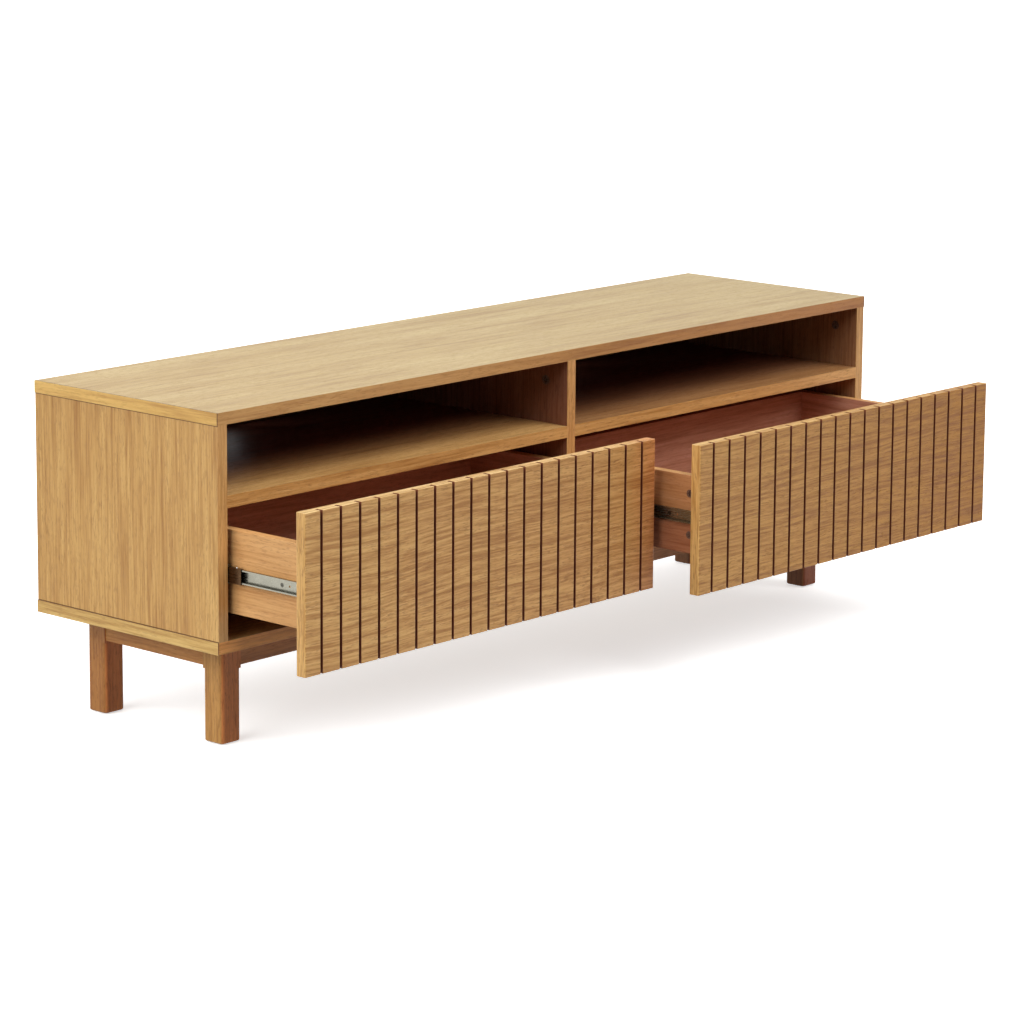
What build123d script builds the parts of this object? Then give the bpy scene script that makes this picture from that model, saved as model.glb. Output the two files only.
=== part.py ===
from build123d import *
import os

os.makedirs("parts", exist_ok=True)

# A low media cabinet on four legs: two open bays over two full-width drawers on ball
# slides, with vertically fluted fronts.  The rest pose has both drawers part open.
# Millimetres.  X runs along the width, Y from front to back, Z up from the floor, and the
# origin is on the floor under the middle of the box that the object fills at rest.

# ---- driving dimensions: carcass ----
overall_width = 1500.0
carcass_depth = 382.0
board = 18.0
panel_overhang = 1.5
niche_height = 101.0
drawer_space = 190.0
edge_break = 0.6
back_sheet = 3.0
back_rebate = 5.0
outlet_radius = 25.0

# ---- driving dimensions: drawer fronts ----
front_thickness = 18.0
front_overlap = 2.0
front_side_reveal = 2.0
front_centre_gap = 3.0
front_gap = 1.0
front_corner = 3.0
slat_count = 20
end_slat = 29.65
groove_width = 5.0
groove_depth = 11.0

# ---- driving dimensions: drawer boxes, and how far each is pulled out at rest ----
left_pull = 151.0
right_pull = 235.0
box_side = 15.0
box_height = 120.0
box_below_slide = 57.0
box_behind_gap = 33.0
box_bottom = 4.0
bottom_lift = 10.0
bottom_tongue = 6.0
front_tongue = 3.0
box_edge_round = 1.0

# ---- driving dimensions: ball slides ----
slide_gap = 10.0
track_height = 27.0
slide_height = 18.5
sheet = 1.2
track_setback = 3.0
slide_setback = 5.0
slide_end_gap = 2.0
slide_flange_gap = 1.8
track_flange_gap = 1.0
race_lip = 0.8
ball_pitch = 18.0
balls_per_row = 8
cage_sheet = 0.8
cage_gap = 0.4
cage_length = 150.0
cage_closed_setback = 51.0
cage_slot = 24.0

# ---- driving dimensions: base ----
leg_height = 148.5
glide_height = 1.5
glide_radius = 13.0
glide_pin = 2.0
glide_pin_length = 9.0
leg_size = 38.0
leg_corner = 6.0
leg_foot_chamfer = 1.5
leg_square_below_rail = 4.0
leg_end_inset = 52.0
leg_front_inset = 48.0
leg_back_inset = 50.0
rail_height = 38.0
rail_thickness = 20.0
rail_inset = 1.5
corner_block = 60.0
block_height = 22.0
block_screw_bite = 10.0

# ---- driving dimensions: fasteners ----
cam_radius = 7.5
cam_depth = 12.5
cam_reach = 34.0
cam_edge = 45.0
shelf_cam_edge = 70.0
drawer_cam_radius = 6.0
drawer_cam_depth = 11.5
drawer_cam_reach = 15.5
drawer_cam_spacing = 64.0
bolt_radius = 3.0
bolt_neck = 2.5
bolt_head = 4.0
bolt_bite = 8.0
dowel_radius = 4.0
dowel_length = 30.0
dowel_bite = 11.0
dowel_edge = 110.0
rail_dowel_edge = 10.0
rail_dowel_bite = 11.0
rail_dowel_length = 24.0
screw_radius = 1.75
screw_head = 3.25
pan_head = 1.4
back_screw_bite = 9.0
box_screw_bite = 24.0
box_screw_edge = 22.0
bottom_screw_bite = 11.0
slide_screw_length = 9.0
spare_hole_radius = 1.6
spare_hole_setback = 33.0
fit = 0.05
clearance = 0.3

# ---- places worked out from them ----
floor_to_body = leg_height + glide_height
bottom_top = floor_to_body + board
shelf_low = bottom_top + drawer_space
shelf_top = shelf_low + board
shelf_z = (shelf_low + shelf_top) / 2
top_low = shelf_top + niche_height

# The right drawer reaches furthest forward, so it sets the middle of the depth.
reach_forward = right_pull + front_gap + front_thickness
edge_y = (reach_forward - carcass_depth) / 2
back_y = edge_y + carcass_depth
inner_back_y = back_y - back_rebate
rebate_width = board / 2

half_width = overall_width / 2
side_in = half_width - panel_overhang - board
divider_half = board / 2
bay_width = side_in - divider_half
bay_middle = (side_in + divider_half) / 2
wall_bite = board / 2 - 1.0

front_width = half_width - front_side_reveal - front_centre_gap / 2
front_middle = (front_centre_gap + front_width) / 2
front_height = drawer_space + 2 * board + 2 * front_overlap
front_low = floor_to_body - front_overlap
front_bite = front_thickness - groove_depth - 1.0
groove_pitch = (front_width - 2 * end_slat - groove_width) / (slat_count - 2)

slide_z = bottom_top + drawer_space / 2
box_depth = carcass_depth - back_rebate - box_behind_gap + front_gap
box_low = slide_z - box_below_slide
box_top = box_low + box_height
box_half = bay_width / 2 - slide_gap
box_inner = box_half - box_side
bottom_low = box_low + bottom_lift
bottom_high = bottom_low + box_bottom
box_cam_z = [box_low + (box_height + s * drawer_cam_spacing) / 2 for s in (-1, 1)]
box_back_z = [bottom_high + box_screw_edge, box_top - box_screw_edge]
bottom_screw_x = [part * box_inner for part in (-0.6, 0.0, 0.6)]

slide_length = box_depth - slide_setback - slide_end_gap
track_y = edge_y + track_setback
track_reach = slide_gap - track_flange_gap
flange_start = sheet + slide_flange_gap
ball_diameter = (track_height - slide_height) / 2 - sheet - fit
ball_x = (flange_start + track_reach) / 2
race_z = (slide_height + track_height) / 4 - sheet / 2
track_screw_y = [track_y + along for along in (35.0, slide_length / 2, slide_length - 30.0)]

frame_left = leg_end_inset - half_width
frame_front = edge_y + leg_front_inset
frame_back = back_y - leg_back_inset
leg_top = floor_to_body
rail_low = leg_top - rail_height
block_low = leg_top - block_height
rail_dowel_z = [rail_low + rail_dowel_edge, leg_top - rail_dowel_edge]

cam_y = [edge_y + cam_edge, inner_back_y - cam_edge]
dowel_y = [edge_y + dowel_edge, inner_back_y - dowel_edge]
shelf_cam_y = [edge_y + shelf_cam_edge, inner_back_y - shelf_cam_edge]

bays = {"left": -1, "right": 1}
pulls = {"left": left_pull, "right": right_pull}
upright_x = {"left_side_panel": -(side_in + board / 2), "centre_divider": 0.0,
             "right_side_panel": side_in + board / 2}
# The way that the face with the cam locks looks, along X.
cam_look = {"left_side_panel": 1, "centre_divider": -1, "right_side_panel": -1}
# Each track's bay, its side of the bay, the board it is screwed to and that board's face.
tracks = [("left", "left", "left_side_panel", -side_in, 1),
          ("left", "right", "centre_divider", -divider_half, -1),
          ("right", "left", "centre_divider", divider_half, 1),
          ("right", "right", "right_side_panel", side_in, -1)]
# Each upright's lower and upper end, and the way into the board from there.
upright_ends = [(bottom_top, 1), (top_low, -1)]

from_base = (Align.CENTER, Align.CENTER, Align.MIN)


# ---- shared shapes ----
def slab(x, y, z, mode=Mode.ADD):
    """A box between two values on each axis."""
    with Locations(((x[0] + x[1]) / 2, (y[0] + y[1]) / 2, (z[0] + z[1]) / 2)):
        Box(abs(x[1] - x[0]), abs(y[1] - y[0]), abs(z[1] - z[0]), mode=mode)


def rod(start, direction, radius, length, mode=Mode.ADD):
    """A round bar, or with Mode.SUBTRACT a bore, from a start point along a direction."""
    with Locations(Plane(origin=start, z_dir=direction)):
        Cylinder(radius, length, align=from_base, mode=mode)


def bore(start, direction, radius, length):
    """A bore that leaves the running fit around a pin of this radius."""
    rod(start, direction, radius + fit, length, Mode.SUBTRACT)


def cross_recess(seat, direction, size, depth):
    """A cross cut for a driver in a screw head or a cam lock."""
    with Locations(Plane(origin=seat, z_dir=direction)):
        Box(size, size / 5, 2 * depth, mode=Mode.SUBTRACT)
        Box(size / 5, size, 2 * depth, mode=Mode.SUBTRACT)


def wood_screw(seat, direction, length):
    """A countersunk screw whose head lies flush with the face it is driven into."""
    with Locations(Plane(origin=seat, z_dir=direction)):
        Cone(screw_head, screw_radius, sheet, align=from_base)
        Cylinder(screw_radius, length, align=from_base)
    cross_recess(seat, direction, screw_head, sheet / 2)


def screw_hole(seat, direction, length):
    """The countersunk hole that a wood screw sits in."""
    with Locations(Plane(origin=seat, z_dir=direction)):
        Cone(screw_head + fit, screw_radius + fit, sheet, align=from_base, mode=Mode.SUBTRACT)
        Cylinder(screw_radius + fit, length + fit, align=from_base, mode=Mode.SUBTRACT)


def cam_lock(face, inward, to_bolt, radius, depth, bolt_depth):
    """A round cam lock with a driver's cross, bored for the head of its bolt."""
    rod(face, inward, radius, depth)
    cross_recess(face, inward, radius * 1.3, depth / 6)
    axis = Vector(*face) + Vector(*inward) * bolt_depth
    mouth = axis + Vector(*to_bolt) * (radius + 1.0)
    away = Vector(*to_bolt) * -1
    rod(tuple(mouth), tuple(away), bolt_radius + clearance, radius + bolt_head, Mode.SUBTRACT)


def cam_bolt(seat, inward, bite, reach):
    """A cam lock's bolt: a threaded root, a neck and a head that the cam lock grips."""
    start = Vector(*seat) - Vector(*inward) * bite
    head = Vector(*seat) + Vector(*inward) * (reach - bolt_head)
    rod(tuple(start), inward, bolt_radius, bite)
    rod(seat, inward, bolt_neck, reach - bolt_head)
    rod(tuple(head), inward, bolt_radius, bolt_head)


def bolt_channel(seat, inward, reach):
    """The clear bore that a cam bolt passes along to its cam lock."""
    rod(seat, inward, bolt_radius + clearance, reach, Mode.SUBTRACT)


def save(solid, name):
    """Label one sub-part and write it."""
    solid.label = name
    export_step(solid, f"parts/{name}.step")


# ---- the carcass ----
def corner_block_places():
    """Each corner of the base: the way in along X and Y, and the leg's outer corner."""
    return [(-sx, gy, sx * -frame_left, y)
            for sx in (-1, 1) for y, gy in ((frame_front, 1), (frame_back, -1))]


def block_screw_places():
    """The x and y of the two screws up through each corner block."""
    near = corner_block / 4
    places = []
    for gx, gy, x, y in corner_block_places():
        inner_x = x + gx * leg_size
        inner_y = y + gy * leg_size
        places.append((inner_x + gx * near, inner_y - gy * near / 2))
        places.append((inner_x - gx * near / 2, inner_y + gy * near))
    return places


def back_screw_places(sign):
    """The x and z of the screws through one back panel."""
    middle_z = (bottom_top + shelf_low) / 2
    outer = (sign * (side_in + rebate_width / 2), middle_z)
    inner = (sign * divider_half / 2, middle_z)
    in_shelf = [(sign * (divider_half + part * bay_width), shelf_z) for part in (0.2, 0.5, 0.8)]
    return [outer, inner] + in_shelf


def horizontal_panel(low, inward):
    """The top or the bottom panel, with inward the way that its inner face looks."""
    inner_z = low if inward < 0 else low + board
    with BuildPart() as panel:
        with BuildSketch(Plane.XY.offset(low)):
            with Locations((0, (edge_y + back_y) / 2)):
                Rectangle(overall_width, carcass_depth)
        extrude(amount=board)
        outer_face = panel.faces().sort_by(Axis.Z)[-1 if inward < 0 else 0]
        fillet(outer_face.edges(), edge_break)
        rebate_end = side_in + rebate_width
        slab((-rebate_end, rebate_end), (inner_back_y, back_y),
             (inner_z, inner_z - inward * rebate_width), Mode.SUBTRACT)
        for x in upright_x.values():
            for y in cam_y:
                bore((x, y, inner_z), (0, 0, -inward), bolt_radius, bolt_bite + 1.0)
            for y in dowel_y:
                bore((x, y, inner_z), (0, 0, -inward), dowel_radius, dowel_bite + 1.0)
        if inward > 0:
            for x, y in block_screw_places():
                bore((x, y, low), (0, 0, 1), screw_radius, block_screw_bite + 1.0)
    return panel.part


def upright(name):
    """A side panel or the centre divider, with its bores for cams, dowels and screws."""
    x = upright_x[name]
    rear = inner_back_y if name == "centre_divider" else back_y
    look = cam_look[name]
    with BuildPart() as panel:
        with BuildSketch(Plane.XY.offset(bottom_top)):
            with Locations((x, (edge_y + rear) / 2)):
                Rectangle(board, rear - edge_y)
        extrude(amount=top_low - bottom_top)
        if rear == back_y:
            inner = x + look * board / 2
            slab((inner, inner - look * rebate_width), (inner_back_y, back_y),
                 (bottom_top, top_low), Mode.SUBTRACT)
        for end_z, up in upright_ends:
            for y in cam_y:
                face = (x + look * board / 2, y, end_z + up * cam_reach)
                bore(face, (-look, 0, 0), cam_radius, cam_depth)
                bolt_channel((x, y, end_z), (0, 0, up), cam_reach)
            for y in dowel_y:
                bore((x, y, end_z), (0, 0, up), dowel_radius, dowel_length - dowel_bite + 1.0)
        for _, _, carrier, wall, way in tracks:
            if carrier == name:
                for y in track_screw_y:
                    bore((wall, y, slide_z), (-way, 0, 0), screw_radius, wall_bite)
                for y in shelf_cam_y:
                    bore((wall, y, shelf_z), (-way, 0, 0), bolt_radius, wall_bite)
        for sign in bays.values():
            for screw_x, z in back_screw_places(sign)[:2]:
                if abs(screw_x - x) < board / 2:
                    bore((screw_x, inner_back_y, z), (0, -1, 0), screw_radius,
                         back_screw_bite + 1.0)
    return panel.part


def shelf_ends(sign):
    """Each end of one bay's shelf, and the way into the shelf from there."""
    return [(sign * divider_half, sign), (sign * side_in, -sign)]


def shelf(sign):
    """One bay's fixed shelf, over its drawer."""
    with BuildPart() as plank:
        with BuildSketch(Plane.XY.offset(shelf_low)):
            with Locations((sign * bay_middle, (edge_y + inner_back_y) / 2)):
                Rectangle(bay_width, inner_back_y - edge_y)
        extrude(amount=board)
        for end_x, way in shelf_ends(sign):
            for y in shelf_cam_y:
                bore((end_x + way * cam_reach, y, shelf_low), (0, 0, 1), cam_radius, cam_depth)
                bolt_channel((end_x, y, shelf_z), (way, 0, 0), cam_reach)
        for x, z in back_screw_places(sign)[2:]:
            bore((x, inner_back_y, z), (0, -1, 0), screw_radius, back_screw_bite + 1.0)
    return plank.part


def back_panel(sign):
    """One bay's thin back, with a round cable outlet behind the open bay."""
    inner = sign * clearance
    outer = sign * (side_in + rebate_width - clearance)
    low = bottom_top - rebate_width + clearance
    high = top_low + rebate_width - clearance
    behind = Plane(origin=(0, inner_back_y, 0), x_dir=(1, 0, 0), z_dir=(0, -1, 0))
    with BuildPart() as thin_back:
        with BuildSketch(behind):
            with Locations(((inner + outer) / 2, (low + high) / 2)):
                Rectangle(abs(outer - inner), high - low)
            with Locations((sign * bay_middle, (shelf_top + top_low) / 2)):
                Circle(outlet_radius, mode=Mode.SUBTRACT)
            with Locations(*back_screw_places(sign)):
                Circle(screw_radius + fit, mode=Mode.SUBTRACT)
        extrude(amount=-back_sheet)
    return thin_back.part


save(horizontal_panel(top_low, -1), "top_panel")
save(horizontal_panel(floor_to_body, 1), "bottom_panel")
for name in upright_x:
    save(upright(name), name)
for bay, sign in bays.items():
    save(shelf(sign), f"{bay}_shelf")
    save(back_panel(sign), f"{bay}_back_panel")

with BuildPart() as panel_cam_locks:
    for name, x in upright_x.items():
        look = cam_look[name]
        for end_z, up in upright_ends:
            for y in cam_y:
                face = (x + look * board / 2, y, end_z + up * cam_reach)
                cam_lock(face, (-look, 0, 0), (0, 0, -up), cam_radius, cam_depth, board / 2)
save(panel_cam_locks.part, "panel_cam_locks")

with BuildPart() as panel_cam_bolts:
    for x in upright_x.values():
        for end_z, up in upright_ends:
            for y in cam_y:
                cam_bolt((x, y, end_z), (0, 0, up), bolt_bite, cam_reach)
save(panel_cam_bolts.part, "panel_cam_bolts")

with BuildPart() as panel_dowels:
    for x in upright_x.values():
        for end_z, up in upright_ends:
            for y in dowel_y:
                rod((x, y, end_z - up * dowel_bite), (0, 0, up), dowel_radius, dowel_length)
save(panel_dowels.part, "panel_dowels")

with BuildPart() as shelf_cam_locks:
    for sign in bays.values():
        for end_x, way in shelf_ends(sign):
            for y in shelf_cam_y:
                face = (end_x + way * cam_reach, y, shelf_low)
                cam_lock(face, (0, 0, 1), (-way, 0, 0), cam_radius, cam_depth, board / 2)
save(shelf_cam_locks.part, "shelf_cam_locks")

with BuildPart() as shelf_cam_bolts:
    for sign in bays.values():
        for end_x, way in shelf_ends(sign):
            for y in shelf_cam_y:
                cam_bolt((end_x, y, shelf_z), (way, 0, 0), wall_bite - clearance, cam_reach)
save(shelf_cam_bolts.part, "shelf_cam_bolts")

with BuildPart() as back_panel_screws:
    for sign in bays.values():
        for x, z in back_screw_places(sign):
            head_y = inner_back_y + back_sheet
            rod((x, head_y, z), (0, -1, 0), screw_radius, back_sheet + back_screw_bite)
            rod((x, head_y, z), (0, 1, 0), screw_head, pan_head)
            cross_recess((x, head_y + pan_head, z), (0, -1, 0), screw_head, pan_head / 2)
save(back_panel_screws.part, "back_panel_screws")


# ---- the base: legs, rails, corner blocks and glides ----
def dowel_seats(sx, back):
    """Where a leg's two rails meet it, and the way from there into the leg."""
    x = sx * -frame_left
    y = frame_back if back else frame_front
    gy = -1 if back else 1
    middle = rail_inset + rail_thickness / 2
    long_rail = (x - sx * leg_size, y + gy * middle, sx, 0)
    end_rail = (x - sx * middle, y + gy * leg_size, 0, -gy)
    return [long_rail, end_rail]


def leg(sx, back):
    """A square leg with rounded corners; beside the rails only its outer corner is rounded."""
    x = sx * (-frame_left - leg_size / 2)
    y = frame_back - leg_size / 2 if back else frame_front + leg_size / 2
    round_top = rail_low - leg_square_below_rail
    with BuildPart() as post:
        with BuildSketch(Plane.XY.offset(glide_height)):
            with Locations((x, y)):
                RectangleRounded(leg_size, leg_size, leg_corner)
        extrude(amount=round_top - glide_height)
        chamfer(post.faces().sort_by(Axis.Z)[0].edges(), leg_foot_chamfer)
        with BuildSketch(Plane.XY.offset(round_top)) as square:
            with Locations((x, y)):
                Rectangle(leg_size, leg_size)
            outside = (x + sx * leg_size, y + (leg_size if back else -leg_size), 0)
            fillet(square.vertices().sort_by_distance(outside)[0], leg_corner)
        extrude(amount=leg_top - round_top)
        for start_x, start_y, dx, dy in dowel_seats(sx, back):
            for z in rail_dowel_z:
                bore((start_x, start_y, z), (dx, dy, 0), dowel_radius, rail_dowel_bite + 1.0)
        bore((x, y, glide_height), (0, 0, 1), glide_pin, glide_pin_length + 1.0)
    return post.part


def rail(x, y, dowel_ends):
    """A rail between two legs, with x and y its sides, bored at both ends for dowels."""
    bore_length = rail_dowel_length - rail_dowel_bite + 1.0
    with BuildPart() as bar:
        with BuildSketch(Plane.XY.offset(rail_low)):
            with Locations(((x[0] + x[1]) / 2, (y[0] + y[1]) / 2)):
                Rectangle(abs(x[1] - x[0]), abs(y[1] - y[0]))
        extrude(amount=rail_height)
        for end_x, end_y, dx, dy in dowel_ends:
            for z in rail_dowel_z:
                bore((end_x, end_y, z), (-dx, -dy, 0), dowel_radius, bore_length)
    return bar.part


legs = {"front_left_leg": (-1, False), "front_right_leg": (1, False),
        "back_left_leg": (-1, True), "back_right_leg": (1, True)}
for name, (sx, back) in legs.items():
    save(leg(sx, back), name)

for name, back in (("front_rail", False), ("back_rail", True)):
    end = -frame_left - leg_size
    face = frame_back - rail_inset if back else frame_front + rail_inset
    inside = face - rail_thickness if back else face + rail_thickness
    seats = [dowel_seats(sx, back)[0] for sx in (-1, 1)]
    save(rail((-end, end), (face, inside), seats), name)

for name, sx in (("left_end_rail", -1), ("right_end_rail", 1)):
    face = sx * (-frame_left - rail_inset)
    seats = [dowel_seats(sx, back)[1] for back in (False, True)]
    ends = (frame_front + leg_size, frame_back - leg_size)
    save(rail((face, face - sx * rail_thickness), ends, seats), name)

with BuildPart() as rail_dowels:
    for sx, back in legs.values():
        for x, y, dx, dy in dowel_seats(sx, back):
            for z in rail_dowel_z:
                near = rail_dowel_length - rail_dowel_bite
                rod((x - dx * near, y - dy * near, z), (dx, dy, 0), dowel_radius,
                    rail_dowel_length)
save(rail_dowels.part, "rail_dowels")

with BuildPart() as corner_blocks:
    for gx, gy, x, y in corner_block_places():
        rail_x = x + gx * (rail_inset + rail_thickness)
        rail_y = y + gy * (rail_inset + rail_thickness)
        leg_x = x + gx * leg_size
        leg_y = y + gy * leg_size
        with BuildSketch(Plane.XY.offset(block_low)):
            with BuildLine():
                Polyline((rail_x, leg_y), (leg_x, leg_y), (leg_x, rail_y),
                         (rail_x + gx * corner_block, rail_y),
                         (rail_x, rail_y + gy * corner_block), close=True)
            make_face()
        extrude(amount=block_height)
    for x, y in block_screw_places():
        screw_hole((x, y, block_low), (0, 0, 1), block_height)
save(corner_blocks.part, "corner_blocks")

with BuildPart() as corner_block_screws:
    for x, y in block_screw_places():
        wood_screw((x, y, block_low), (0, 0, 1), block_height + block_screw_bite)
save(corner_block_screws.part, "corner_block_screws")

with BuildPart() as foot_glides:
    for sx, back in legs.values():
        x = sx * (-frame_left - leg_size / 2)
        y = frame_back - leg_size / 2 if back else frame_front + leg_size / 2
        rod((x, y, 0), (0, 0, 1), glide_radius, glide_height)
        rod((x, y, glide_height), (0, 0, 1), glide_pin, glide_pin_length)
save(foot_glides.part, "foot_glides")


# ---- ball slides ----
def drawer_y(bay):
    """The back face of a drawer's front, where its box starts."""
    return edge_y - front_gap - pulls[bay]


def slide_screw_y(bay):
    """Where the screws along one drawer's slide members are."""
    start = drawer_y(bay) + slide_setback
    return [start + along for along in (48.0, slide_length / 2, slide_length - 40.0)]


def ball_places(bay, wall, way):
    """The centre of every ball of one slide; a cage moves half as far as its drawer."""
    start = edge_y + cage_closed_setback - pulls[bay] / 2
    first = start + (cage_length - (balls_per_row - 1) * ball_pitch) / 2
    return [(wall + way * ball_x, first + i * ball_pitch, slide_z + level * race_z)
            for level in (-1, 1) for i in range(balls_per_row)]


def channel_plane(y):
    """A plane across the slides, with X to the right and Z up."""
    return Plane(origin=(0, y, slide_z), x_dir=(1, 0, 0), z_dir=(0, -1, 0))


def track(wall, way):
    """The cabinet half of a slide: a lipped channel with its web on the bay's wall."""
    high = track_height / 2
    under_lip = high - sheet - race_lip
    with BuildPart() as channel:
        with BuildSketch(channel_plane(track_y)):
            with Locations((wall + way * track_reach / 2, 0)):
                Rectangle(track_reach, track_height)
            with Locations((wall + way * (sheet + track_reach - sheet) / 2, 0)):
                Rectangle(track_reach - 2 * sheet, 2 * (high - sheet), mode=Mode.SUBTRACT)
            with Locations((wall + way * (track_reach - sheet / 2), 0)):
                Rectangle(sheet, 2 * under_lip, mode=Mode.SUBTRACT)
        extrude(amount=-slide_length)
        for y in track_screw_y:
            screw_hole((wall + way * sheet, y, slide_z), (-way, 0, 0), sheet)
    return channel.part


def slide_member(bay, wall, way):
    """The drawer half of a slide: a narrower channel with its web on the drawer's side."""
    start = drawer_y(bay) + slide_setback
    web = slide_gap - sheet
    with BuildPart() as channel:
        with BuildSketch(channel_plane(start)):
            with Locations((wall + way * (flange_start + slide_gap) / 2, 0)):
                Rectangle(slide_gap - flange_start, slide_height)
            with Locations((wall + way * (flange_start + sheet / 2), 0)):
                Rectangle(sheet, slide_height + 2 * race_lip)
            with Locations((wall + way * (flange_start + web) / 2, 0)):
                Rectangle(web - flange_start, slide_height - 2 * sheet, mode=Mode.SUBTRACT)
        extrude(amount=-slide_length)
        for y in slide_screw_y(bay):
            screw_hole((wall + way * web, y, slide_z), (way, 0, 0), sheet)
        rod((wall, start + spare_hole_setback, slide_z), (way, 0, 0), spare_hole_radius,
            slide_gap, Mode.SUBTRACT)
    return channel.part


def ball_cage(bay, wall, way):
    """A folded strip that spaces the balls between the two channels of a slide."""
    start = edge_y + cage_closed_setback - pulls[bay] / 2
    web_x = sheet + cage_gap
    wing_x = track_reach - sheet - cage_gap
    high = race_z + cage_sheet / 2
    with BuildSketch(channel_plane(start)) as profile:
        with Locations((wall + way * (web_x + wing_x) / 2, 0)):
            Rectangle(wing_x - web_x, 2 * high)
        with Locations((wall + way * (web_x + cage_sheet + wing_x) / 2, 0)):
            Rectangle(wing_x - web_x - cage_sheet, 2 * (high - cage_sheet), mode=Mode.SUBTRACT)
    extrude(profile.sketch, amount=-cage_length)
    for x, y, z in ball_places(bay, wall, way):
        rod((x, y, z - cage_sheet), (0, 0, 1), ball_diameter / 2 + 2 * fit, 2 * cage_sheet,
            Mode.SUBTRACT)
    for part in (0.25, 0.5, 0.75):
        y = start + cage_length * part
        slab((wall, wall + way * (web_x + 2 * cage_sheet)),
             (y - cage_slot / 2, y + cage_slot / 2),
             (slide_z - slide_height / 6, slide_z + slide_height / 6), Mode.SUBTRACT)


for bay, side, _, wall, way in tracks:
    save(track(wall, way), f"{bay}_bay_{side}_track")
    save(slide_member(bay, wall, way), f"{bay}_drawer_{side}_slide")

with BuildPart() as track_screws:
    for _, _, _, wall, way in tracks:
        for y in track_screw_y:
            wood_screw((wall + way * sheet, y, slide_z), (-way, 0, 0),
                       sheet + wall_bite - clearance)
save(track_screws.part, "track_screws")

for bay in bays:
    walls = [(wall, way) for owner, _, _, wall, way in tracks if owner == bay]
    with BuildPart() as ball_cages:
        for wall, way in walls:
            ball_cage(bay, wall, way)
    save(ball_cages.part, f"{bay}_ball_cages")

    with BuildPart() as slide_balls:
        for wall, way in walls:
            with Locations(*ball_places(bay, wall, way)):
                Sphere(ball_diameter / 2)
    save(slide_balls.part, f"{bay}_slide_balls")

    with BuildPart() as slide_screws:
        for wall, way in walls:
            for y in slide_screw_y(bay):
                seat = (wall + way * (slide_gap - sheet), y, slide_z)
                wood_screw(seat, (way, 0, 0), slide_screw_length)
    save(slide_screws.part, f"{bay}_drawer_slide_screws")


# ---- drawers ----
def drawer_front(bay):
    """A thick front cut into slats by open vertical grooves."""
    inner_y = drawer_y(bay)
    face_y = inner_y - front_thickness
    middle = bays[bay] * front_middle
    centre = bays[bay] * bay_middle
    first = middle - (slat_count - 2) * groove_pitch / 2
    with BuildPart() as front:
        with BuildSketch(Plane.XY.offset(front_low)):
            with Locations((middle, (face_y + inner_y) / 2)):
                Rectangle(front_width, front_thickness)
        extrude(amount=front_height)
        fillet(front.edges().filter_by(Axis.Z), front_corner)
        for end in (0, -1):
            fillet(front.faces().sort_by(Axis.Z)[end].edges(), edge_break)
        with BuildSketch(Plane.XY.offset(front_low)):
            for i in range(slat_count - 1):
                with Locations((first + i * groove_pitch, face_y + groove_depth / 2)):
                    Rectangle(groove_width, groove_depth)
        extrude(amount=front_height, mode=Mode.SUBTRACT)
        tongue_end = box_inner + bottom_tongue + clearance
        slab((centre - tongue_end, centre + tongue_end),
             (inner_y - front_tongue - clearance, inner_y),
             (bottom_low - fit, bottom_high + fit), Mode.SUBTRACT)
        for sx in (-1, 1):
            for z in box_cam_z:
                bolt_x = centre + sx * (box_inner + box_side / 2)
                bore((bolt_x, inner_y, z), (0, -1, 0), bolt_radius, front_bite)
    return front.part


def box_side_board(bay, sx):
    """One side of a drawer's box, grooved for the bottom and bored for its fasteners."""
    inner_y = drawer_y(bay)
    centre = bays[bay] * bay_middle
    inner = centre + sx * box_inner
    outer = centre + sx * box_half
    with BuildPart() as plank:
        with BuildSketch(Plane.XY.offset(box_low)):
            with Locations(((inner + outer) / 2, inner_y + box_depth / 2)):
                Rectangle(box_side, box_depth)
        extrude(amount=box_height)
        fillet(plank.faces().sort_by(Axis.Z)[-1].edges().filter_by(Axis.Y), box_edge_round)
        slab((inner, inner + sx * (bottom_tongue + clearance)), (inner_y, inner_y + box_depth),
             (bottom_low - fit, bottom_high + fit), Mode.SUBTRACT)
        for z in box_cam_z:
            bore((outer, inner_y + drawer_cam_reach, z), (-sx, 0, 0), drawer_cam_radius,
                 drawer_cam_depth)
            bolt_channel(((inner + outer) / 2, inner_y, z), (0, 1, 0), drawer_cam_reach)
        for z in box_back_z:
            screw_hole((outer, inner_y + box_depth - box_side / 2, z), (-sx, 0, 0), box_side)
        for y in slide_screw_y(bay):
            bore((outer, y, slide_z), (-sx, 0, 0), screw_radius, slide_screw_length)
    return plank.part


def drawer_back(bay):
    """The back of a drawer's box, standing on the bottom between the sides."""
    rear = drawer_y(bay) + box_depth
    centre = bays[bay] * bay_middle
    with BuildPart() as plank:
        with BuildSketch(Plane.XY.offset(bottom_high + fit)):
            with Locations((centre, rear - box_side / 2)):
                Rectangle(2 * box_inner, box_side)
        extrude(amount=box_top - bottom_high - fit)
        fillet(plank.faces().sort_by(Axis.Z)[-1].edges().filter_by(Axis.X), box_edge_round)
        for sx in (-1, 1):
            for z in box_back_z:
                bore((centre + sx * box_inner, rear - box_side / 2, z), (-sx, 0, 0),
                     screw_radius, box_screw_bite)
        for x in bottom_screw_x:
            bore((centre + x, rear - box_side / 2, bottom_high), (0, 0, 1), screw_radius,
                 bottom_screw_bite + 1.0)
    return plank.part


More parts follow.
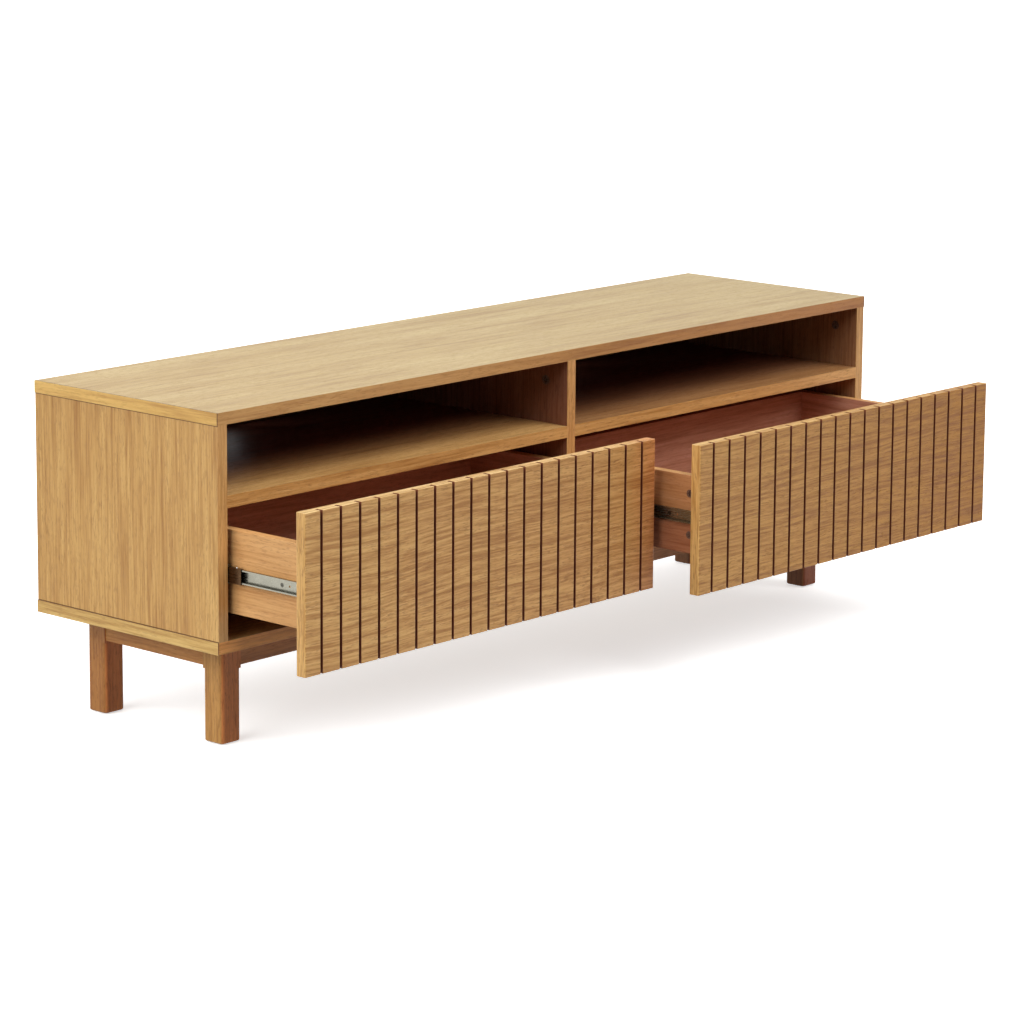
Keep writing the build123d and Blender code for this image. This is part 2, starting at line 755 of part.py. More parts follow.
def drawer_bottom(bay):
    """The thin bottom of a drawer's box, held in grooves on three sides."""
    inner_y = drawer_y(bay)
    centre = bays[bay] * bay_middle
    length = front_tongue + box_depth - 1.0
    with BuildPart() as plate:
        with BuildSketch(Plane.XY.offset(bottom_low)):
            with Locations((centre, inner_y - front_tongue + length / 2)):
                Rectangle(2 * (box_inner + bottom_tongue), length)
        extrude(amount=box_bottom)
        for x in bottom_screw_x:
            seat = (centre + x, inner_y + box_depth - box_side / 2, bottom_low)
            screw_hole(seat, (0, 0, 1), box_bottom)
    return plate.part


for bay, sign in bays.items():
    inner_y = drawer_y(bay)
    screw_y = inner_y + box_depth - box_side / 2
    centre = sign * bay_middle
    save(drawer_front(bay), f"{bay}_drawer_front")
    save(box_side_board(bay, -1), f"{bay}_drawer_left_side")
    save(box_side_board(bay, 1), f"{bay}_drawer_right_side")
    save(drawer_back(bay), f"{bay}_drawer_back")
    save(drawer_bottom(bay), f"{bay}_drawer_bottom")

    with BuildPart() as drawer_cam_locks:
        for sx in (-1, 1):
            for z in box_cam_z:
                face = (centre + sx * box_half, inner_y + drawer_cam_reach, z)
                cam_lock(face, (-sx, 0, 0), (0, -1, 0), drawer_cam_radius, drawer_cam_depth,
                         box_side / 2)
    save(drawer_cam_locks.part, f"{bay}_drawer_cam_locks")

    with BuildPart() as drawer_cam_bolts:
        for sx in (-1, 1):
            for z in box_cam_z:
                seat = (centre + sx * (box_inner + box_side / 2), inner_y, z)
                cam_bolt(seat, (0, 1, 0), front_bite - fit, drawer_cam_reach)
    save(drawer_cam_bolts.part, f"{bay}_drawer_cam_bolts")

    with BuildPart() as drawer_screws:
        for sx in (-1, 1):
            for z in box_back_z:
                wood_screw((centre + sx * box_half, screw_y, z), (-sx, 0, 0),
                           box_side + box_screw_bite - 1.0)
        for x in bottom_screw_x:
            wood_screw((centre + x, screw_y, bottom_low), (0, 0, 1),
                       box_bottom + bottom_screw_bite)
    save(drawer_screws.part, f"{bay}_drawer_screws")
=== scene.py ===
"""Looks for a low media cabinet in oak veneer: finishes, stage, light and camera."""

import math

import bpy
from mathutils import Matrix, Vector


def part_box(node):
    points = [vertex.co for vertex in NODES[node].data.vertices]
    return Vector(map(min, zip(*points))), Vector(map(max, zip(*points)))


bl_info = {
    "name": "Media Cabinet Finishes",
    "version": (1, 0, 0),
    "blender": (4, 5, 0),
    "location": "3D View > Sidebar > Media Cabinet",
    "description": "Oak veneer, fluted fronts, drawer slides and stage for a media cabinet",
    "category": "Object",
}

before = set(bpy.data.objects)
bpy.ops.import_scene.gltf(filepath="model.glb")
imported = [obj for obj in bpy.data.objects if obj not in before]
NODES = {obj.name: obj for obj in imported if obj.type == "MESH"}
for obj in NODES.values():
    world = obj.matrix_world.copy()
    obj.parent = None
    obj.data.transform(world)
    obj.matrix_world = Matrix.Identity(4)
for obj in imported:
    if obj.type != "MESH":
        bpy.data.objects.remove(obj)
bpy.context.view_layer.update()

FLOOR_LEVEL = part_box("foot_glides")[0].z
FRONT_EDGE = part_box("top_panel")[0].y
SIDE_INNER, SIDE_OUTER = (corner.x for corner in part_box("right_side_panel"))
END_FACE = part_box("top_panel")[1].x
TOP_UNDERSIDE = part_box("top_panel")[0].z
BOTTOM_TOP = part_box("bottom_panel")[1].z

END_SLAT, GROOVE, SLATS = 0.02965, 0.005, 20
FRONT_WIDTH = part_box("left_drawer_front")[1].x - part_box("left_drawer_front")[0].x
SLAT_PITCH = (FRONT_WIDTH - 2 * END_SLAT - GROOVE) / (SLATS - 2)

AXES = {"X": 0, "Y": 1, "Z": 2}

# share of a normal along an axis, from which a face looks that way
FACING = 0.5
# slack for comparing places
HAIR, END_SLACK = 0.0005, 0.0003
# depth behind an edge, and behind a slat's face, that still counts as part of it
LIP, SKIN = 0.001, 0.004

# how far in from the front edge a tint takes to reach its full strength: the painted shade in the
# bays, then the darkening of the outer sides
BAY_SHADE_FADE, RIGHT_BAY_SHADE_FADE, SIDE_FADE = 0.21, 0.16, 0.38
# tints that multiply the veneer: painted shade on the bay walls and boards, then the outer sides'
# darkening to the rear; then the colour of the painted shadow line at the joints
BAY_WALL_SHADE = (0.27, 0.12, 0.36)
BAY_BOARD_SHADE = (0.28, 0.10, 0.24)
SIDE_REAR = (0.90, 0.87, 0.79)
JOINT_SHADOW = (0.10, 0.045, 0.02)
JOINT_SHADOW_WIDTH, JOINT_SHADOW_STRENGTH = 0.0015, 0.8

# how far one seed moves the figure along each axis
SEED_STEPS = (1.37, 2.11, 0.73)
WARM_GLOSS = (1.0, 0.84, 0.68, 1.0)
WHITE = (1.0, 1.0, 1.0)


# ---------------------------------------------------------------- settings

class OakSettings(bpy.types.PropertyGroup):
    """Tones and figure of the oak."""

    honey: bpy.props.FloatVectorProperty(
        name="Honey", description="Middle tone of the oak veneer",
        subtype="COLOR", size=3, min=0, max=1, default=(0.570, 0.325, 0.108))
    pale: bpy.props.FloatVectorProperty(
        name="Pale", description="Lightest tone, between the growth lines",
        subtype="COLOR", size=3, min=0, max=1, default=(0.680, 0.420, 0.155))
    shadow: bpy.props.FloatVectorProperty(
        name="Shadow", description="Darkest tone, along the growth lines",
        subtype="COLOR", size=3, min=0, max=1, default=(0.400, 0.195, 0.055))
    pore: bpy.props.FloatVectorProperty(
        name="Pore", description="Colour that gathers in the open pores",
        subtype="COLOR", size=3, min=0, max=1, default=(0.260, 0.125, 0.045))
    # the flutes' own dark stain, deepened with painted shade of the deep grooves
    groove_stain_and_shade: bpy.props.FloatVectorProperty(
        name="Groove", description="Stain inside the flutes",
        subtype="COLOR", size=3, min=0, max=1, default=(0.215, 0.068, 0.038))
    pore_depth: bpy.props.FloatProperty(
        name="Pore depth", description="Depth of the open pores",
        unit="LENGTH", min=0, max=0.001, default=0.00018)


class MetalSettings(bpy.types.PropertyGroup):
    """Colours of the metal fittings."""

    zinc: bpy.props.FloatVectorProperty(
        name="Zinc", description="Bright zinc on the slides and the screws",
        subtype="COLOR", size=3, min=0, max=1, default=(0.250, 0.242, 0.198))
    cam: bpy.props.FloatVectorProperty(
        name="Cam", description="Die-cast zinc of the cam locks",
        subtype="COLOR", size=3, min=0, max=1, default=(0.200, 0.125, 0.090))
    ball: bpy.props.FloatVectorProperty(
        name="Ball", description="Hardened steel of the slide balls",
        subtype="COLOR", size=3, min=0, max=1, default=(0.700, 0.700, 0.710))


class StageSettings(bpy.types.PropertyGroup):
    """Floor, light and camera."""

    key: bpy.props.FloatProperty(
        name="Key light", description="Strength of the broad light on the left",
        min=0, max=20, default=2.95)
    front: bpy.props.FloatProperty(
        name="Front light", description="Strength of the broad light in front",
        min=0, max=20, default=2.8)
    room: bpy.props.FloatProperty(
        name="Room", description="Brightness of the room in front of the cabinet",
        min=0, max=5, default=0.14)
    backdrop: bpy.props.FloatProperty(
        name="Backdrop", description="Brightness of the pale wall behind the cabinet",
        min=0, max=5, default=0.95)
    heading: bpy.props.FloatProperty(
        name="Heading", description="Turn of the camera from the cabinet's front",
        subtype="ANGLE", unit="ROTATION", default=math.radians(48.21))
    tilt: bpy.props.FloatProperty(
        name="Tilt", description="How far the camera looks down",
        subtype="ANGLE", unit="ROTATION", default=math.radians(9.74))
    roll: bpy.props.FloatProperty(
        name="Roll", description="Lean of the camera",
        subtype="ANGLE", unit="ROTATION", default=math.radians(0.41))
    place: bpy.props.FloatVectorProperty(
        name="Place", description="Where the camera stands",
        subtype="TRANSLATION", unit="LENGTH", size=3, default=(-4.229, -3.7208, 1.4338))
    lens: bpy.props.FloatProperty(
        name="Lens", description="Focal length in millimetres", min=10, max=400, default=130.1)
    rise: bpy.props.FloatProperty(
        name="Shift", description="Vertical shift of the lens, in frame widths",
        min=-1, max=1, default=-0.1465)


class CabinetSettings(bpy.types.PropertyGroup):
    """All the settings of the media cabinet."""

    oak: bpy.props.PointerProperty(type=OakSettings)
    metal: bpy.props.PointerProperty(type=MetalSettings)
    stage: bpy.props.PointerProperty(type=StageSettings)


def settings():
    return bpy.context.scene.media_cabinet


# ---------------------------------------------------------------- node bench

class Bench:
    """A material's node tree, with short ways to put nodes on it."""

    def __init__(self, name):
        self.material = bpy.data.materials.new(name)
        self.material.use_nodes = True
        self.tree = self.material.node_tree
        self.shader = self.tree.nodes["Principled BSDF"]
        self.where = self.put("ShaderNodeTexCoord")

    def put(self, kind, inputs=None, **traits):
        node = self.tree.nodes.new(kind)
        for trait, value in traits.items():
            setattr(node, trait, value)
        for socket, value in (inputs or {}).items():
            self.feed(node.inputs[socket], value)
        return node

    def feed(self, socket, value):
        if isinstance(value, bpy.types.NodeSocket):
            self.tree.links.new(value, socket)
        else:
            socket.default_value = value

    def calc(self, work, first, second=0.0):
        return self.put("ShaderNodeMath", {0: first, 1: second}, operation=work).outputs[0]

    def times(self, first, second):
        return self.calc("MULTIPLY", first, second)

    def above(self, value, limit):
        return self.calc("GREATER_THAN", value, limit)

    def below(self, value, limit):
        return self.calc("LESS_THAN", value, limit)

    def both(self, work, first, second):
        return self.put("ShaderNodeVectorMath", {0: first, 1: second}, operation=work).outputs[0]

    def split(self, vector):
        return self.put("ShaderNodeSeparateXYZ", {0: vector}).outputs

    def normal(self):
        return self.split(self.where.outputs["Normal"])

    def facing(self):
        node = self.put("ShaderNodeVectorMath", {0: self.where.outputs["Normal"]},
                        operation="ABSOLUTE")
        return self.split(node.outputs[0])

    def noise(self, place, scale, detail=2.0, rough=0.5, warp=0.0):
        return self.put("ShaderNodeTexNoise", {"Vector": place, "Scale": scale, "Detail": detail,
                                               "Roughness": rough, "Distortion": warp}).outputs[0]

    def between(self, value, low, high, out_low=0.0, out_high=1.0, way="LINEAR"):
        return self.put("ShaderNodeMapRange", {0: value, 1: low, 2: high, 3: out_low, 4: out_high},
                        interpolation_type=way).outputs[0]

    def tones(self, value, stops):
        node = self.put("ShaderNodeValToRGB", {0: value})
        ramp = node.color_ramp
        while len(ramp.elements) < len(stops):
            ramp.elements.new(0.5)
        for element, (spot, colour) in zip(ramp.elements, stops):
            element.position = spot
            element.color = (*colour, 1.0)
        return node.outputs[0]

    def over(self, amount, under, colour, way="MIX"):
        node = self.put("ShaderNodeMix", data_type="RGBA", blend_type=way)
        self.feed(node.inputs[0], amount)
        for socket, value in ((node.inputs[6], under), (node.inputs[7], colour)):
            if not isinstance(value, bpy.types.NodeSocket):
                value = (*value, 1.0)
            self.feed(socket, value)
        return node.outputs[2]

    def tint(self, amount, colour, by):
        return self.over(amount, colour, by, "MULTIPLY")

    def choose(self, amount, first, second):
        node = self.put("ShaderNodeMix", data_type="VECTOR")
        self.feed(node.inputs[0], amount)
        self.feed(node.inputs[4], first)
        self.feed(node.inputs[5], second)
        return node.outputs[1]

    def bump(self, height, distance):
        return self.put("ShaderNodeBump", {"Height": height, "Distance": distance}).outputs[0]

    def finish(self, **sockets):
        for name, value in sockets.items():
            self.feed(self.shader.inputs[name.replace("_", " ")], value)
        return self.material


def stretched(axis, across):
    """Scale that draws a texture out along one axis."""
    scale = [across, across, across]
    scale[AXES[axis]] = 1.0
    return tuple(scale)


def dress(material, *names):
    """Give a material to carried-over nodes."""
    for name in names:
        slots = NODES[name].material_slots
        if not slots:
            NODES[name].data.materials.append(material)
        for slot in slots:
            slot.material = material


# ---------------------------------------------------------------- oak

def oak(name, grain, edge_grain, seed, pale, honey, shadow, pore, depth,
        waviness=0.004, figure=0.5, streaks=0.5, pores=0.5, gloss=0.42,
        masks=None, polish=0.35):
    """Oak whose grain runs along one axis, with strips along another on the cut ends."""
    b = Bench(name)
    spot = b.where.outputs["Object"]
    cut_end = b.above(b.facing()[AXES[grain]], 0.7)

    def drawn_out(place, across):
        scale = b.choose(cut_end, stretched(grain, across), stretched(edge_grain, across))
        return b.both("MULTIPLY", place, scale)

    moved = b.both("ADD", spot, tuple(seed * step for step in SEED_STEPS))

    # slow drift of the fibres, so that lines wander instead of running ruled
    drift = b.put("ShaderNodeTexNoise", {"Vector": drawn_out(moved, 3.0), "Scale": 2.6,
                                         "Detail": 2.0, "Roughness": 0.45}).outputs[1]
    drift = b.both("SUBTRACT", drift, (0.5, 0.5, 0.5))
    drift = b.put("ShaderNodeVectorMath", {0: drift, "Scale": waviness},
                  operation="SCALE").outputs[0]
    wander = b.both("ADD", moved, drift)

    growth = b.noise(drawn_out(wander, 11.0), 2.4, 3.0, 0.55, 0.6)
    line = drawn_out(wander, 26.0)
    bands = b.noise(line, 5.0, 3.0, 0.65, 0.3)
    fibres = b.noise(line, 10.0, 3.0, 0.7)
    short = drawn_out(wander, 7.0)
    dashes = b.noise(short, 40.0, 2.0, 0.7)
    flecks = b.noise(short, 75.0, 2.0, 0.6)

    mixed = b.calc("ADD", b.times(growth, figure), b.times(bands, 1.0 - figure))
    mixed = b.calc("ADD", mixed, b.times(b.calc("SUBTRACT", fibres, 0.5), 1.5 * streaks))
    colour = b.tones(mixed, [(0.28, shadow), (0.5, honey), (0.72, pale)])
    pits = b.calc("MAXIMUM", b.between(flecks, 0.55, 0.70),
                  b.times(b.between(dashes, 0.57, 0.68), 0.8))
    gathered = b.times(pits, b.between(growth, 0.38, 0.62, 0.45, 1.0))
    colour = b.over(b.times(gathered, pores), colour, pore)
    height = b.calc("SUBTRACT", b.times(fibres, 0.35), pits)
    if masks:
        colour = masks(b, spot, colour)
    shine = b.between(fibres, 0.3, 0.7, gloss - 0.05, gloss + 0.07)
    shine = b.calc("ADD", shine, b.times(gathered, 0.15))
    b.shader.inputs["Specular IOR Level"].default_value = polish
    b.shader.inputs["Specular Tint"].default_value = WARM_GLOSS
    return b.finish(Base_Color=colour, Roughness=shine, Normal=b.bump(height, depth))


def oak_tones():
    s = settings().oak
    return {"pale": tuple(s.pale), "honey": tuple(s.honey), "shadow": tuple(s.shadow),
            "pore": tuple(s.pore), "depth": s.pore_depth}


def tinted(tones, red, green, blue):
    """The oak's tones, made lighter, darker or redder."""
    by = (red, green, blue)
    return {key: tuple(c * f for c, f in zip(value, by)) if key != "depth" else value
            for key, value in tones.items()}


def painted_bay_shade(b, spot, colour):
    """Painted shade inside the bays: walls and shelves turn darker and redder, deepening to the
    back.
    """
    x, y, z = b.split(spot)
    nx, _, nz = b.facing()
    wall = b.times(b.above(nx, FACING), b.below(b.calc("ABSOLUTE", x), SIDE_INNER + HAIR))
    level = b.times(b.above(z, BOTTOM_TOP - HAIR), b.below(z, TOP_UNDERSIDE + HAIR))
    flat = b.times(b.above(nz, FACING), level)
    # painted shade on the shelves and the bottom, deepening from the front edge to the back
    board = b.times(flat, b.between(y, FRONT_EDGE, FRONT_EDGE + BAY_SHADE_FADE,
                                    0.14, 0.92, "SMOOTHSTEP"))
    right_flat = b.times(flat, b.between(x, 0.0, LIP, 0.0, 1.0))
    right_board = b.times(right_flat, b.between(y, FRONT_EDGE, FRONT_EDGE + RIGHT_BAY_SHADE_FADE,
                                                0.52, 0.86, "SMOOTHSTEP"))
    board = b.calc("MAXIMUM", board, right_board)
    behind = b.above(y, FRONT_EDGE + LIP)
    # painted shade on the bay walls, weaker on the right side panel's inner face
    shaded_wall = b.times(wall, b.between(x, 0.5, 0.7, 0.80, 0.64))
    colour = b.tint(b.times(shaded_wall, behind), colour, BAY_WALL_SHADE)
    return b.tint(b.times(board, behind), colour, BAY_BOARD_SHADE)


def edge_strip(front_tint, end_tint=WHITE):
    """Mask for the glued strips on the front and end edges, over the painted shade inside the bays,
    with the outer sides darker to the rear and a painted shadow line where boards meet.
    """
    def paint(b, spot, colour):
        colour = painted_bay_shade(b, spot, colour)
        x, y, z = b.split(spot)
        nx, ny, _ = b.normal()
        reach = b.calc("ABSOLUTE", x)
        colour = b.tint(b.below(ny, -FACING), colour, front_tint)
        on_end = b.times(b.above(b.calc("ABSOLUTE", nx), FACING),
                         b.above(reach, END_FACE - END_SLACK))
        colour = b.tint(on_end, colour, end_tint)
        outer = b.times(b.above(reach, SIDE_OUTER - HAIR), b.below(reach, END_FACE - END_SLACK))
        rear = b.between(y, FRONT_EDGE, FRONT_EDGE + SIDE_FADE, 0.3, 1.0)
        colour = b.tint(b.times(outer, rear), colour, SIDE_REAR)
        # a painted shadow line where the outer sides meet the top and the bottom
        joint = b.calc("MAXIMUM", b.above(z, TOP_UNDERSIDE - JOINT_SHADOW_WIDTH),
                       b.below(z, BOTTOM_TOP + JOINT_SHADOW_WIDTH))
        return b.over(b.times(b.times(outer, joint), JOINT_SHADOW_STRENGTH), colour, JOINT_SHADOW)
    return paint


def top_sheen_and_shade(strip):
    """Mask for the top: a cooler upper face, partly its own paler veneer and partly a painted
    sheen, and painted shade that darkens it and the front edge to the right.
    """
    upper_veneer_and_sheen, upper_far_shade, front_far_shade = (0.82, 1.01, 1.34), (0.86, 0.89, 0.90), (0.75, 0.58, 0.45)

    def paint(b, spot, colour):
        _, ny, nz = b.normal()
        up, ahead = b.above(nz, FACING), b.below(ny, -FACING)
        far = b.between(b.split(spot)[0], -SIDE_OUTER, SIDE_OUTER, 0.0, 1.0)
        # the upper face: its paler veneer plus a painted sheen; then painted shade towards the
        # right end
        colour = b.tint(up, colour, upper_veneer_and_sheen)
        colour = b.tint(b.times(up, far), colour, upper_far_shade)
        colour = b.tint(b.times(ahead, far), colour, front_far_shade)
        return strip(b, spot, colour)
    return paint


def fluted(low, high, fade, rightward_shade, end_tint, groove_stain_and_shade):
    """Mask for a slatted front from low to high: grooves in their own dark stain deepened by
    painted shade, a painted highlight on each slat's right arris, and painted shade that darkens
    the slats to the right.
    """
    last_slats, last_tint = 0.06, (1.14, 0.92, 1.00)
    last_strength = 1.0 if high.x < 0.1 else 0.0
    arris_highlight, top_tint = (1.06, 1.08, 1.25), (1.30, 1.60, 2.10)

    def paint(b, spot, colour):
        x, y, _ = b.split(spot)
        nx, ny, nz = b.normal()
        inside = b.times(b.above(x, low.x + SKIN), b.below(x, high.x - SKIN))
        side_on = b.above(b.calc("ABSOLUTE", nx), FACING)
        wall = b.times(side_on, inside)
        bed = b.times(b.below(ny, -FACING), b.above(y, low.y + SKIN))
        deep = b.times(b.calc("MAXIMUM", wall, bed), 0.97)
        # painted shade: the slats darken towards the right of each front
        colour = b.tint(b.between(x, low.x, high.x, *fade), colour, rightward_shade)
        last = b.between(x, high.x - last_slats, high.x, 0.0, last_strength)
        colour = b.tint(last, colour, last_tint)
        # a painted highlight along the right arris of each slat
        past = b.calc("SUBTRACT", x, low.x + END_SLAT + GROOVE)
        along = b.calc("FRACT", b.calc("DIVIDE", past, SLAT_PITCH))
        arris_glint = b.times(b.between(along, 0.80, 0.868, 0.0, 0.6), inside)
        colour = b.tint(arris_glint, colour, arris_highlight)
        colour = b.tint(b.calc("SUBTRACT", side_on, wall), colour, end_tint)
        colour = b.tint(b.above(nz, FACING), colour, top_tint)
        # the grooves take their own dark stain, deepened with painted shade
        return b.over(deep, colour, groove_stain_and_shade)
    return paint


def lined(low, high, inner, shade):
    """Mask for a drawer box: painted shade on the left cheek, darker at its foot, and a bluer
    inside.
    """
    cheek_shade, foot_shade, inner_tint = (0.72, 0.60, 0.62), (0.82, 0.68, 0.78), (0.80, 0.71, 1.22)
    tall = high.z - low.z

    def paint(b, spot, colour):
        x, _, z = b.split(spot)
        # painted shade on the left cheek, as cast by the drawer beside it, deeper at its foot
        cheek = b.times(b.below(x, low.x + HAIR), shade)
        colour = b.tint(cheek, colour, cheek_shade)
        foot = b.between(z, low.z + 0.45 * tall, low.z + 0.55 * tall, 1.0, 0.0)
        colour = b.tint(b.times(cheek, foot), colour, foot_shade)
        inside = b.times(b.above(x, inner[0] - HAIR), b.below(x, inner[1] + HAIR))
        return b.tint(inside, colour, inner_tint)
    return paint


def leg_shade(end_tint, front_tint):
    """Mask for a leg's painted shade: one tint on the face that looks forward, another on the rest.
    """
    def paint(b, spot, colour):
        ahead = b.between(b.normal()[1], -0.8, -0.5, 1.0, 0.0)
        colour = b.tint(b.calc("SUBTRACT", 1.0, ahead), colour, end_tint)
        return b.tint(ahead, colour, front_tint)
    return paint


class MEDIACABINET_OT_top(bpy.types.Operator):
    """Veneer the top panel, with the grain along its length"""

    bl_idname = "media_cabinet.top"
    bl_label = "Top panel"

    def execute(self, context):
        strip = edge_strip((0.84, 0.76, 0.72), (1.11, 1.15, 0.95))
        veneer = oak("top_veneer", "X", "Y", 3.0, waviness=0.006, polish=0.5, figure=0.55,
                     streaks=0.35, pores=0.35, gloss=0.44, masks=top_sheen_and_shade(strip),
                     **oak_tones())
        dress(veneer, "top_panel")
        return {"FINISHED"}


class MEDIACABINET_OT_carcass(bpy.types.Operator):
    """Veneer the sides, the divider, the shelves and the bottom panel"""

    bl_idname = "media_cabinet.carcass"
    bl_label = "Carcass"

    def execute(self, context):
        upright = edge_strip((1.02, 0.96, 1.00), (1.10, 1.20, 1.20))
        # painted light lifts the bottom panel's front edge out of the shade under the drawers
        plinth_painted_light = edge_strip((1.45, 1.12, 0.85), (1.03, 1.13, 1.10))
        middle = edge_strip((0.94, 0.80, 0.79))
        level = edge_strip((0.92, 0.80, 0.74), (1.03, 1.13, 1.10))
        for name, grain, edge, seed, masks in (
                ("left_side_panel", "Z", "Y", 5.2, upright),
                ("right_side_panel", "Z", "Y", 7.9, upright),
                ("centre_divider", "Z", "Y", 9.4, middle),
                ("left_shelf", "X", "Y", 11.3, level),
                ("right_shelf", "X", "Y", 12.8, level),
                ("bottom_panel", "X", "Y", 14.6, plinth_painted_light)):
            veneer = oak("carcass_veneer_" + name, grain, edge, seed, waviness=0.004,
                         figure=0.5, streaks=0.5, pores=0.55, masks=masks, **oak_tones())
            dress(veneer, name)
        return {"FINISHED"}


class MEDIACABINET_OT_backs(bpy.types.Operator):
    """Finish the thin backs behind the bays"""

    bl_idname = "media_cabinet.backs"
    bl_label = "Backs"

    def execute(self, context):
        # the backs are a dark brown board, darkened further with painted shade of the deep bays
        tones = tinted(oak_tones(), 0.34, 0.36, 0.62)
        board = oak("back_board", "X", "Z", 17.0, figure=0.5, streaks=0.4, pores=0.3,
                    gloss=0.6, polish=0.15, **tones)
        dress(board, "left_back_panel", "right_back_panel")
        return {"FINISHED"}


class MEDIACABINET_OT_fronts(bpy.types.Operator):
    """Finish the fluted drawer fronts, with the grain running across the slats"""

    bl_idname = "media_cabinet.fronts"
    bl_label = "Fluted fronts"

    def execute(self, context):
        groove_stain_and_shade = tuple(settings().oak.groove_stain_and_shade)
        # each front's fade span and the tint after it paint shade that darkens its slats towards
        # the right
        for bay, seed, fade, rightward_shade, end_tint in (
                ("left", 21.0, (0.09, 0.57), (0.67, 0.48, 0.34), (1.14, 1.20, 1.22)),
                ("right", 26.5, (0.50, 1.0), (0.61, 0.44, 0.17), (1.28, 1.40, 1.60))):
            low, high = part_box(f"{bay}_drawer_front")
            veneer = oak(f"fluted_veneer_{bay}", "X", "Z", seed, waviness=0.030, figure=0.35,
                         streaks=0.9, pores=0.7,
                         masks=fluted(low, high, fade, rightward_shade, end_tint, groove_stain_and_shade),
                         **tinted(oak_tones(), 1.0, 0.97, 0.97))
            dress(veneer, f"{bay}_drawer_front")
        return {"FINISHED"}


class MEDIACABINET_OT_boxes(bpy.types.Operator):
    """Finish the drawer boxes"""

    bl_idname = "media_cabinet.boxes"
    bl_label = "Drawer boxes"

    def execute(self, context):
        tones = tinted(oak_tones(), 1.04, 0.95, 1.06)
        for bay, seed in (("left", 31.0), ("right", 36.0)):
            low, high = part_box(f"{bay}_drawer_left_side")
            inner = (high.x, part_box(f"{bay}_drawer_right_side")[0].x)
            # only the right drawer's left cheek takes the painted shade of the left drawer
            shade = 0.0 if bay == "left" else 1.0
            finish = dict(waviness=0.006, figure=0.6, streaks=0.4, pores=0.4, gloss=0.5,
                          masks=lined(low, high, inner, shade), **tones)
            along = oak(f"drawer_board_sides_{bay}", "Y", "Z", seed, **finish)
            across = oak(f"drawer_board_ends_{bay}", "X", "Z", seed + 2, **finish)
            dress(along, f"{bay}_drawer_left_side", f"{bay}_drawer_right_side")
            dress(across, f"{bay}_drawer_back", f"{bay}_drawer_bottom")
        return {"FINISHED"}


class MEDIACABINET_OT_base(bpy.types.Operator):
    """Finish the legs, the rails, the corner blocks, the dowels and the glides"""

    bl_idname = "media_cabinet.base"
    bl_label = "Base"

    def execute(self, context):
        tones = tinted(oak_tones(), 0.86, 0.74, 0.66)
        # painted shade: each leg gets its own copy of the oak, darker where more shade falls under
        # the cabinet, and red darkens and reddens the forward faces
        red = (1.20, 0.78, 0.70)
        for corner, seed, end_tint, front_tint in (
                ("front_left", 41.0, (0.95, 0.96, 0.87), red),
                ("front_right", 42.3, (0.42, 0.30, 0.36), (0.58, 0.29, 0.34)),
                ("back_left", 43.9, (0.70, 0.57, 0.46), red),
                ("back_right", 45.1, (0.30, 0.22, 0.22), red)):
            leg = oak(f"solid_oak_{corner}_leg", "Z", "Y", seed, waviness=0.008, figure=0.5,
                      streaks=0.6, pores=0.7, gloss=0.45, masks=leg_shade(end_tint, front_tint),
                      **tones)
            dress(leg, f"{corner}_leg")
        lengthwise = oak("solid_oak_rails", "X", "Z", 47.0, waviness=0.008, figure=0.5,
                         streaks=0.5, pores=0.6, gloss=0.45,
                         **tinted(oak_tones(), 0.83, 0.55, 0.46))
        dress(lengthwise, "front_rail", "back_rail", "corner_blocks")
        endwise = oak("solid_oak_end_rails", "Y", "Z", 49.0, waviness=0.008, figure=0.5,
                      streaks=0.5, pores=0.6, gloss=0.45,
                      **tinted(oak_tones(), 0.77, 0.58, 0.46))
        dress(endwise, "left_end_rail", "right_end_rail")
        beech = oak("beech_dowel", "X", "Y", 51.0, figure=0.4, streaks=0.3, pores=0.3,
                    gloss=0.55, **tinted(oak_tones(), 1.05, 1.02, 1.2))
        dress(beech, "rail_dowels", "panel_dowels")
        dress(plastic_finish(), "foot_glides")
        return {"FINISHED"}


# ---------------------------------------------------------------- fittings

def plastic_finish():
    """Moulded brown plastic with a fine spark texture."""
    b = Bench("glide_plastic")
    spot = b.where.outputs["Object"]
    spark = b.noise(spot, 2200.0, 3.0, 0.6)
    cloud = b.noise(spot, 60.0, 2.0, 0.5)
    colour = b.tones(cloud, [(0.3, (0.060, 0.038, 0.026)), (0.7, (0.095, 0.062, 0.042))])
    return b.finish(Base_Color=colour, Roughness=b.between(spark, 0.3, 0.7, 0.42, 0.6),
                    Normal=b.bump(spark, 0.00006))


def metal_finish(name, colour, dull, scratch_axis, spangle, roughness):
    """Plated or cast metal with a soft cloud of tone and drawn scratches."""
    b = Bench(name)
    spot = b.where.outputs["Object"]
    lines = b.both("MULTIPLY", spot, stretched(scratch_axis, 40.0))
    scratches = b.noise(lines, 30.0, 3.0, 0.65)
    cloud = b.noise(spot, 90.0, 3.0, 0.6)
    fine = b.noise(spot, 900.0, 2.0, 0.5)
    tone = b.calc("ADD", b.times(cloud, 0.7), b.times(scratches, 0.3))
    low = tuple(c * (1 - spangle) for c in colour)
    high = tuple(min(1.0, c * (1 + spangle)) for c in colour)
    shade = b.tones(tone, [(0.3, low), (0.5, colour), (0.7, high)])
    shade = b.over(b.times(b.between(fine, 0.62, 0.75), 0.4), shade, dull)
    rough = b.between(scratches, 0.3, 0.7, roughness - 0.07, roughness + 0.10)
    return b.finish(Base_Color=shade, Metallic=1.0, Roughness=rough,
                    Normal=b.bump(b.calc("ADD", scratches, fine), 0.00003))


